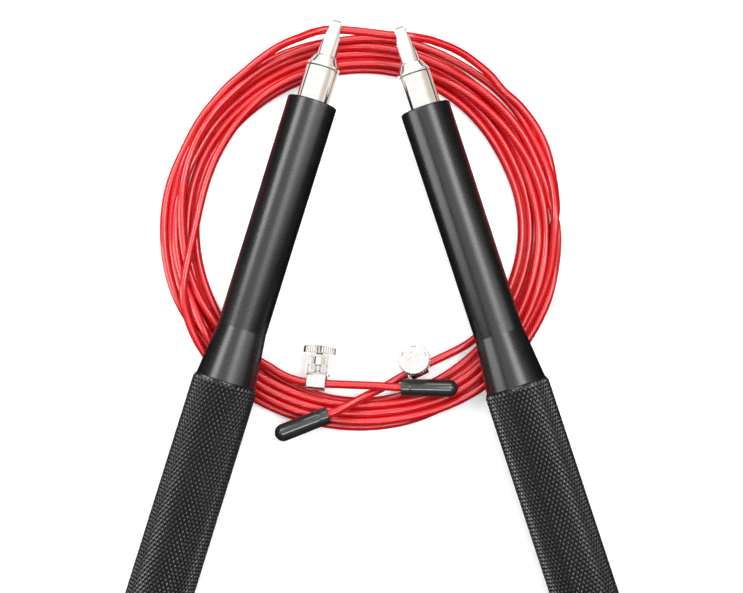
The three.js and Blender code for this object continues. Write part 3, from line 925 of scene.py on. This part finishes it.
def end_plug():
    """The plastic plug: a domed face with a shallow ring groove, and a ribbed spigot."""
    outline = [
        (0, 0.45),
        (3.2, 0.4),
        (5.6, 0.22),
        (6.2, 0.5, 0.15),
        (6.8, 0.12, 0.15),
        (PLUG_RADIUS, 0, 0.6),
        (PLUG_RADIUS, PLUG_FLANGE, 0.12),
        (PLUG_SPIGOT_RADIUS - PLUG_RIB_HEIGHT, PLUG_FLANGE),
    ]
    for rib in range(PLUG_RIBS):
        station = PLUG_FLANGE + 1.2 + PLUG_RIB_PITCH * rib
        outline += [(PLUG_SPIGOT_RADIUS - PLUG_RIB_HEIGHT, station), (PLUG_SPIGOT_RADIUS, station + 0.5, 0.1)]
        outline += [(PLUG_SPIGOT_RADIUS - PLUG_RIB_HEIGHT, station + 1.2)]
    outline += [(PLUG_SPIGOT_RADIUS - 0.6, PLUG_LENGTH, 0.2), (0, PLUG_LENGTH)]
    return turned(rounded(outline), 96)


def bearing_sleeve():
    """The bright sleeve in the socket, with the rib between the two bearings."""
    rib_start, rib_end = SLEEVE_RIB
    outline = rounded([
        (SLEEVE_BORE_RADIUS, SLEEVE_REAR + 1),
        (SLEEVE_BORE_RADIUS, SLEEVE_REAR, 0.1),
        (SLEEVE_RADIUS, SLEEVE_REAR, 0.15),
        (SLEEVE_RADIUS, BARREL_FRONT + 1),
        (SLEEVE_RADIUS, SLEEVE_FRONT - 1),
        (SLEEVE_RADIUS, SLEEVE_FRONT, 0.22),
        (SLEEVE_BORE_RADIUS, SLEEVE_FRONT, 0.1),
        (SLEEVE_BORE_RADIUS, rib_end),
        (SLEEVE_RIB_RADIUS, rib_end, 0.08),
        (SLEEVE_RIB_RADIUS, rib_start, 0.08),
        (SLEEVE_BORE_RADIUS, rib_start),
        (SLEEVE_BORE_RADIUS, SLEEVE_REAR + 1),
    ])
    return turned(outline, 96)


# Half the tang's thickness on the way to the tip: the flats run out in a long curve.
TANG_OUTLINE = [
    (3.1, 181.2), (2.85, 182.8), (2.65, 184.2), (2.45, 185.4), (2.25, 186.6), (2.1, 187.8),
    (2, 189), (1.93, 190.3), (1.8, 191), (1.5, 191.7), (1, 192.2), (0.4, 192.5),
]


def spindle(name):
    """The shaft, the bright cone, and the flat tang with the rounded eye through it."""
    outline = rounded([
        (0, SHAFT_END),
        (SHAFT_RADIUS, SHAFT_END, 0.3),
        (SHAFT_RADIUS, CONE_START, 0.1),
        (SLEEVE_RADIUS, CONE_START, 0.2),
        (SLEEVE_RADIUS - 0.05, CONE_START + 0.75, 0.25),
        (3.95, CONE_END - 1, 0.3),
        (3.55, CONE_END - 0.2, 0.3),
        (NECK_RADIUS, CONE_END, 0.2),
        (NECK_RADIUS, HANDLE_LENGTH - 0.5),
        (NECK_RADIUS - 0.4, HANDLE_LENGTH),
        (0, HANDLE_LENGTH),
    ])
    piece = solid(name, *turned(outline, 96))
    for side in (-1, 1):
        sweep = [(side * half, station) for half, station in catmull_rom(TANG_OUTLINE, 6)]
        sweep += [(side * 6, HANDLE_LENGTH), (side * 6, TANG_OUTLINE[0][1])]
        combine(piece, "DIFFERENCE", solid("flat", *prism(sweep, -6, 6, "xzy")))
    centre = HANDLE_LENGTH - NECK_RADIUS
    arc = np.linspace(0, math.pi, 49)
    dome = [(NECK_RADIUS * math.cos(a), centre + NECK_RADIUS * math.sin(a)) for a in arc]
    dome += [(-6, centre), (-6, 195), (6, 195), (6, centre)]
    combine(piece, "DIFFERENCE", solid("dome", *prism(dome, -6, 6, "yzx")))
    combine(piece, "DIFFERENCE", flared_drill("eye", EYE_RADIUS, EYE_FLARE, 1.5, 2.4, 0.5, EYE_STATION))
    return piece


for hand, (place, _, _) in HANDLE_PLACES.items():
    body = hand + "_handle"
    tube = solid(hand + "_knurled_tube", *handle_body())
    finish(tube, place, body, "anodised_aluminium", [hand + "_handle_body"], sharp=22)
    plug = solid(hand + "_grip_plug", *end_plug())
    finish(plug, place, body, "black_plastic", [hand + "_end_plug"])
    sleeve = solid(hand + "_bright_sleeve", *bearing_sleeve())
    finish(sleeve, place, body, "nickel", [hand + "_bearing_sleeve"])
    finish(spindle(hand + "_eye_spindle"), place, "rope", "nickel", [hand + "_spindle"])

# ---- Pieces on the rope ----


def rope_cap():
    """A soft cap about Z, mouth at the origin, with a lip and a round closed end."""
    outline = [
        (0, CAP_BORE_DEPTH),
        (CAP_BORE_RADIUS, CAP_BORE_DEPTH),
        (CAP_BORE_RADIUS, 0, 0.2),
        (CAP_RADIUS, 0, 0.35),
        (CAP_RADIUS, 2.7, 0.15),
        (CAP_RADIUS - 0.14, 2.95, 0.1),
        (CAP_RADIUS - 0.05, 3.3),
        (CAP_RADIUS, 8),
    ]
    round_start = CAP_LENGTH - CAP_RADIUS
    for angle in np.linspace(0, math.pi / 2, 13)[:-1]:
        outline.append((CAP_RADIUS * math.cos(angle), round_start + CAP_RADIUS * math.sin(angle)))
    outline.append((0, CAP_LENGTH))
    return turned(rounded(outline), 64)


def round_corners(corners, cut, steps=5):
    """A closed flat outline with all its corners rounded."""
    looped = [(*corners[-1],)] + [(*corner, cut) for corner in corners] + [(*corners[0],)]
    return [tuple(point) for point in rounded(looped, steps)[1:-1]]


def clamp_body(name):
    """A ring round the rope, and a stirrup over it with a boss for the screw."""
    half = STIRRUP_WIDTH / 2
    frame_outline = round_corners([(-half, 0.5), (half, 0.5), (half, STIRRUP_TOP), (-half, STIRRUP_TOP)], 0.7)
    piece = solid(name, *prism(frame_outline, -STIRRUP_DEPTH / 2, STIRRUP_DEPTH / 2, "xzy"))
    soften(piece, 0.18, 60)
    inner = half - LEG_THICKNESS
    top = STIRRUP_TOP - PLATE_THICKNESS
    window = round_corners([(-inner, -2), (inner, -2), (inner, top), (-inner, top)], 0.45)
    combine(piece, "DIFFERENCE", solid("window", *prism(window, -5, 5, "xzy")))
    for side in (-1, 1):
        face = side * STIRRUP_DEPTH / 2
        levels = sorted((face - side * WINDOW_BEVEL, face + side * 0.02))
        bevel = solid("bevel", *prism(window, *levels, "xzy"))
        for vertex in bevel.data.vertices:
            if abs(vertex.co.y) > STIRRUP_DEPTH / 2:
                vertex.co.x *= 1 + WINDOW_FLARE / inner
                vertex.co.z = top + WINDOW_FLARE if vertex.co.z > top - 0.5 else vertex.co.z
        combine(piece, "DIFFERENCE", bevel)
    collar = BOSS_RADIUS - 0.1
    boss = [(0, BOSS_BOTTOM), (collar, BOSS_BOTTOM, 0.4), (collar, top + 0.4), (0, top + 0.4)]
    combine(piece, "UNION", solid("boss", *turned(rounded(boss), 64)))
    end = RING_LENGTH / 2 + RING_LIP
    ring_outline = [(0, -end), (RING_RADIUS, -end, 0.3), (RING_RADIUS, end, 0.3), (0, end)]
    combine(piece, "UNION", turned_about_x("ring", ring_outline, 72))
    bore = flared_drill("bore", RING_BORE_RADIUS, RING_BORE_FLARE, end - 0.4, end - 0.05, 0.15)
    combine(piece, "DIFFERENCE", bore)
    thread = SCREW_RADIUS + SCREW_HOLE_CLEARANCE
    hole = [(0, 0), (thread, 0), (thread, STIRRUP_TOP - 0.3)]
    hole += [(thread + 0.3, STIRRUP_TOP + 0.1), (thread + 0.3, 12), (0, 12)]
    combine(piece, "DIFFERENCE", solid("hole", *turned(hole, 48)))
    return piece


def thumb_screw(name):
    """The screw: a threaded shank, and a toothed, domed head with a cross recess."""
    head_end = HEAD_START + HEAD_THICKNESS

    def shape(radius, station, angle):
        if station < HEAD_START - 0.2 and radius > SCREW_RADIUS - 0.05:
            turn = (station / THREAD_PITCH - angle / (2 * math.pi)) % 1
            return radius - THREAD_DEPTH * abs(2 * turn - 1)
        if radius > HEAD_RADIUS - 1:
            wave = 0.5 - 0.5 * math.cos(HEAD_TEETH * angle)
            return radius - TOOTH_DEPTH * wave**0.7 * min(1, (radius - HEAD_RADIUS + 1) / 0.6)
        if station > head_end + 0.1:
            return radius * (1 + LOBE_DEPTH * math.cos(DOME_LOBES * angle + LOBE_TURN))
        return radius

    outline = [(0, SCREW_TIP), (SCREW_RADIUS - 0.35, SCREW_TIP)]
    stations = np.arange(SCREW_TIP + 0.3, HEAD_START - 0.15, THREAD_PITCH / 6)
    outline += [(SCREW_RADIUS, station) for station in stations]
    outline += rounded([
        (SCREW_RADIUS - 0.1, HEAD_START - 0.1),
        (SCREW_RADIUS, HEAD_START),
        (2.4, HEAD_START + 0.02),
        (HEAD_RADIUS, HEAD_START, 0.3),
        (HEAD_RADIUS, head_end - 0.1, 0.3),
        (HEAD_RADIUS - 0.75, head_end, 0.2),
        (DOME_RADIUS, head_end + 0.05),
    ])
    for radius in np.linspace(DOME_RADIUS - 0.3, 0, 8):
        outline.append((radius, head_end + HEAD_DOME * (1 - (radius / DOME_RADIUS) ** 2)))
    piece = solid(name, *turned(outline, 6 * HEAD_TEETH, shape))
    arm = RECESS_LENGTH / 2
    half = RECESS_WIDTH / 2
    bottom = head_end + HEAD_DOME - RECESS_DEPTH
    quarter = [(arm, -half), (arm, half), (half, half)]
    cross = []
    for _ in range(4):
        cross += quarter
        quarter = [(-y, x) for x, y in quarter]
    tool = solid("cross", *prism(round_corners(cross, 0.16, 3), bottom, head_end + 3, "xyz"))
    for vertex in tool.data.vertices:
        if vertex.co.z < bottom + 0.01:
            vertex.co.xy *= 0.8
    combine(piece, "DIFFERENCE", tool)
    return piece


for hand in ("left", "right"):
    cap = solid(hand + "_soft_cap", *rope_cap())
    finish(cap, cap_place(*CAP_MOUTHS[hand]), "rope", "black_rubber", [hand + "_rope_cap"])
    place = CLAMP_PLACES[hand]
    clamp = clamp_body(hand + "_bright_clamp")
    finish(clamp, place, hand + "_clamp", "nickel", [hand + "_clamp_body"])
    screw = thumb_screw(hand + "_toothed_screw")
    finish(screw, place, hand + "_screw", "nickel", [hand + "_thumb_screw"])

# ---- CAD pieces that stay ----

for part in frame["record"]["subparts"]:
    node = frame["nodes"][part["node"]]
    for slot in node.material_slots:
        slot.material = LOOKS[part["material_slot"]]

# ---- Table, lights and camera ----

TABLE_HALF = 3000
TABLE_TOP = -0.02
TABLE_UNDER = -0.04
BACKDROP_RADIUS = 4  # in metres, as the tent's radius is
TENT_RADIUS = 3.5
LENS = 84.79
CAMERA_PLACE = (0.375, -41.2, 544)
CAMERA_LEAN = 5.5  # in degrees, as the roll is
CAMERA_ROLL = -0.456


def flat_square(name, half, height):
    """A level square, part of the stage."""
    corners = [(-half, -half, height), (half, -half, height), (half, half, height), (-half, half, height)]
    piece = solid(name, corners, [(0, 1, 2, 3)])
    piece.data.transform(Matrix.Scale(MM, 4))
    return piece


def seen_only_by(piece, *rays):
    """Leaves the piece visible to these kinds of ray alone."""
    for kind in ("camera", "diffuse", "glossy", "transmission", "shadow"):
        setattr(piece, "visible_" + kind, kind in rays)


def white_table():
    """A plain white table top with a faint glow of its own. A grey top under it gives the bounced light."""
    table = flat_square("table", TABLE_HALF, TABLE_TOP)
    look = Look("table_white", Roughness=0.9, Specular_IOR_Level=0.1, Emission_Strength=0.35)
    look.shader.inputs["Emission Color"].default_value = (1, 1, 1, 1)
    paper = look.noise(look.place(), 40, 2)
    look.drive("Base Color", look.ramp(paper, (0.0, 0.78), (1.0, 0.82)))
    table.data.materials.append(look.material)
    seen_only_by(table, "camera")
    bounce = flat_square("table_under", TABLE_HALF, TABLE_UNDER)
    look = Look("table_grey", Roughness=0.9, Specular_IOR_Level=0.1)
    paper = look.noise(look.place(), 40, 2)
    look.drive("Base Color", look.ramp(paper, (0.0, 0.4), (1.0, 0.44)))
    bounce.data.materials.append(look.material)
    seen_only_by(bounce, "diffuse")


def glowing_dome(name, radius, *rays):
    """A sphere round everything that glows, and the look that it glows with."""
    mesh = bpy.data.meshes.new(name)
    made = bmesh.new()
    bmesh.ops.create_uvsphere(made, u_segments=48, v_segments=24, radius=radius)
    made.to_mesh(mesh)
    made.free()
    dome = in_scene(name, mesh)
    look = Look(name, Base_Color=(0, 0, 0, 1), Specular_IOR_Level=0.0, Emission_Strength=1.0)
    mesh.materials.append(look.material)
    seen_only_by(dome, *rays)
    return dome, look


def white_backdrop():
    """A white dome behind everything, which only the camera sees."""
    _, look = glowing_dome("backdrop", BACKDROP_RADIUS, "camera")
    look.shader.inputs["Emission Color"].default_value = (0.93, 0.93, 0.93, 1)


def metal_tent(metal):
    """A plain white tent for the shiny metal, with a dark band low down and a warm side."""
    dome, look = glowing_dome("tent", TENT_RADIUS, "glossy")
    split = look.nodes.new("ShaderNodeSeparateXYZ")
    toward = look.stretched(look.place(), (1 / TENT_RADIUS,) * 3)
    look.join(toward, split.inputs["Vector"])
    right, up = (look.math("MULTIPLY_ADD", split.outputs[axis], 0.5, 0.5) for axis in "XZ")
    glow = look.mix(look.ramp(up, *SKIRT), look.ramp(right, *TENT_GLOW), (0.04, 0.04, 0.04, 1))
    look.drive("Emission Color", glow)
    look.shader.inputs["Emission Strength"].default_value = 1.15
    dome.light_linking.receiver_collection = metal


def collection_of(name, pieces):
    """A collection that lamps and tents name as what they light."""
    made = bpy.data.collections.new(name)
    for piece in pieces:
        made.objects.link(piece)
    return made


def area_light(name, at, aim, size, glow, lit):
    """A rectangular lamp with the given radiance; its place, target and size are in millimetres."""
    data = bpy.data.lights.new(name, "AREA")
    data.shape = "RECTANGLE"
    data.size, data.size_y = (side * MM for side in size)
    data.energy = glow * math.pi * data.size * data.size_y
    lamp = in_scene(name, data)
    lamp.location = Vector(at) * MM
    lamp.rotation_euler = (Vector(aim) - Vector(at)).to_track_quat("-Z", "Y").to_euler()
    lamp.light_linking.receiver_collection = lit


def soft_sky(strength):
    """Even light from above that falls off to a dark horizon, as from a ceiling of soft boxes."""
    world = bpy.data.worlds.new("studio")
    world.use_nodes = True
    nodes = world.node_tree.nodes
    links = world.node_tree.links
    split = nodes.new("ShaderNodeSeparateXYZ")
    links.new(nodes.new("ShaderNodeTexCoord").outputs["Generated"], split.inputs["Vector"])
    fall = nodes.new("ShaderNodeValToRGB")
    links.new(split.outputs["Z"], fall.inputs["Fac"])
    low, high = fall.color_ramp.elements
    low.position, low.color = 0.18, (0.03, 0.03, 0.03, 1)
    high.position, high.color = 0.42, (1, 1, 1, 1)
    background = nodes["Background"]
    links.new(fall.outputs["Color"], background.inputs["Color"])
    background.inputs["Strength"].default_value = strength
    bpy.context.scene.world = world


METALS = {LOOKS["nickel"], LOOKS["bearing_steel"], LOOKS["cage_brass"]}
# The tent's skirt, from its foot (0) to its top (1): 1 is dark.
SKIRT = [(0.0, 0.0), (0.3, 0.0), (0.34, 1.0), (0.43, 1.0), (0.47, 0.0), (1.0, 0.0)]
# The tent's glow from its left (0) to its right (1), which is a little brown.
TENT_GLOW = [(0.0, 1.0), (0.74, 1.0), (0.86, (0.7, 0.63, 0.55, 1)), (0.93, (0.62, 0.54, 0.46, 1)), (1.0, 0.9)]

white_table()
white_backdrop()
objects = [piece for piece in bpy.data.objects if piece.type == "MESH"]
metal = collection_of("metal", [piece for piece in objects if METALS & set(piece.data.materials)])
other = collection_of("other", [piece for piece in objects if not METALS & set(piece.data.materials)])
rubber = LOOKS["black_rubber"]
caps = collection_of("caps", [piece for piece in objects if rubber in set(piece.data.materials)])
metal_tent(metal)
soft_sky(0.1)
area_light("ceiling", (0, 60, 1200), (0, 61, 0), (1500, 1500), 1.15, other)
area_light("left_box", (-405, 255, 435), (-33, 45, 15), (250, 220), 8.5, other)
area_light("right_box", (248, 213, 665), (45, 45, 15), (250, 250), 6, other)
area_light("right_panel", (351, 45, 459), (-33, 45, 15), (200, 750), 2.9, other)
area_light("back_box", (0, 480, 420), (0, 30, 0), (600, 160), 6, other)
area_light("front_strip", (10, -275, 550), (10, -17, 8), (400, 30), 20, other)
area_light("cap_strip", (10, -275, 550), (10, -17, 8), (400, 110), 6, caps)
area_light("left_panel", (-495, -27, 195), (45, 45, 15), (180, 460), 5, other)

camera = bpy.data.cameras.new("camera")
camera.lens = LENS
camera.sensor_width = 36
camera.clip_start = 0.01
camera.clip_end = 20
viewer = in_scene("camera", camera)
viewer.location = Vector(CAMERA_PLACE) * MM
viewer.rotation_mode = "ZYX"
viewer.rotation_euler = (math.radians(CAMERA_LEAN), 0, math.radians(CAMERA_ROLL))
bpy.context.scene.camera = viewer
bpy.context.scene.view_settings.view_transform = "Standard"
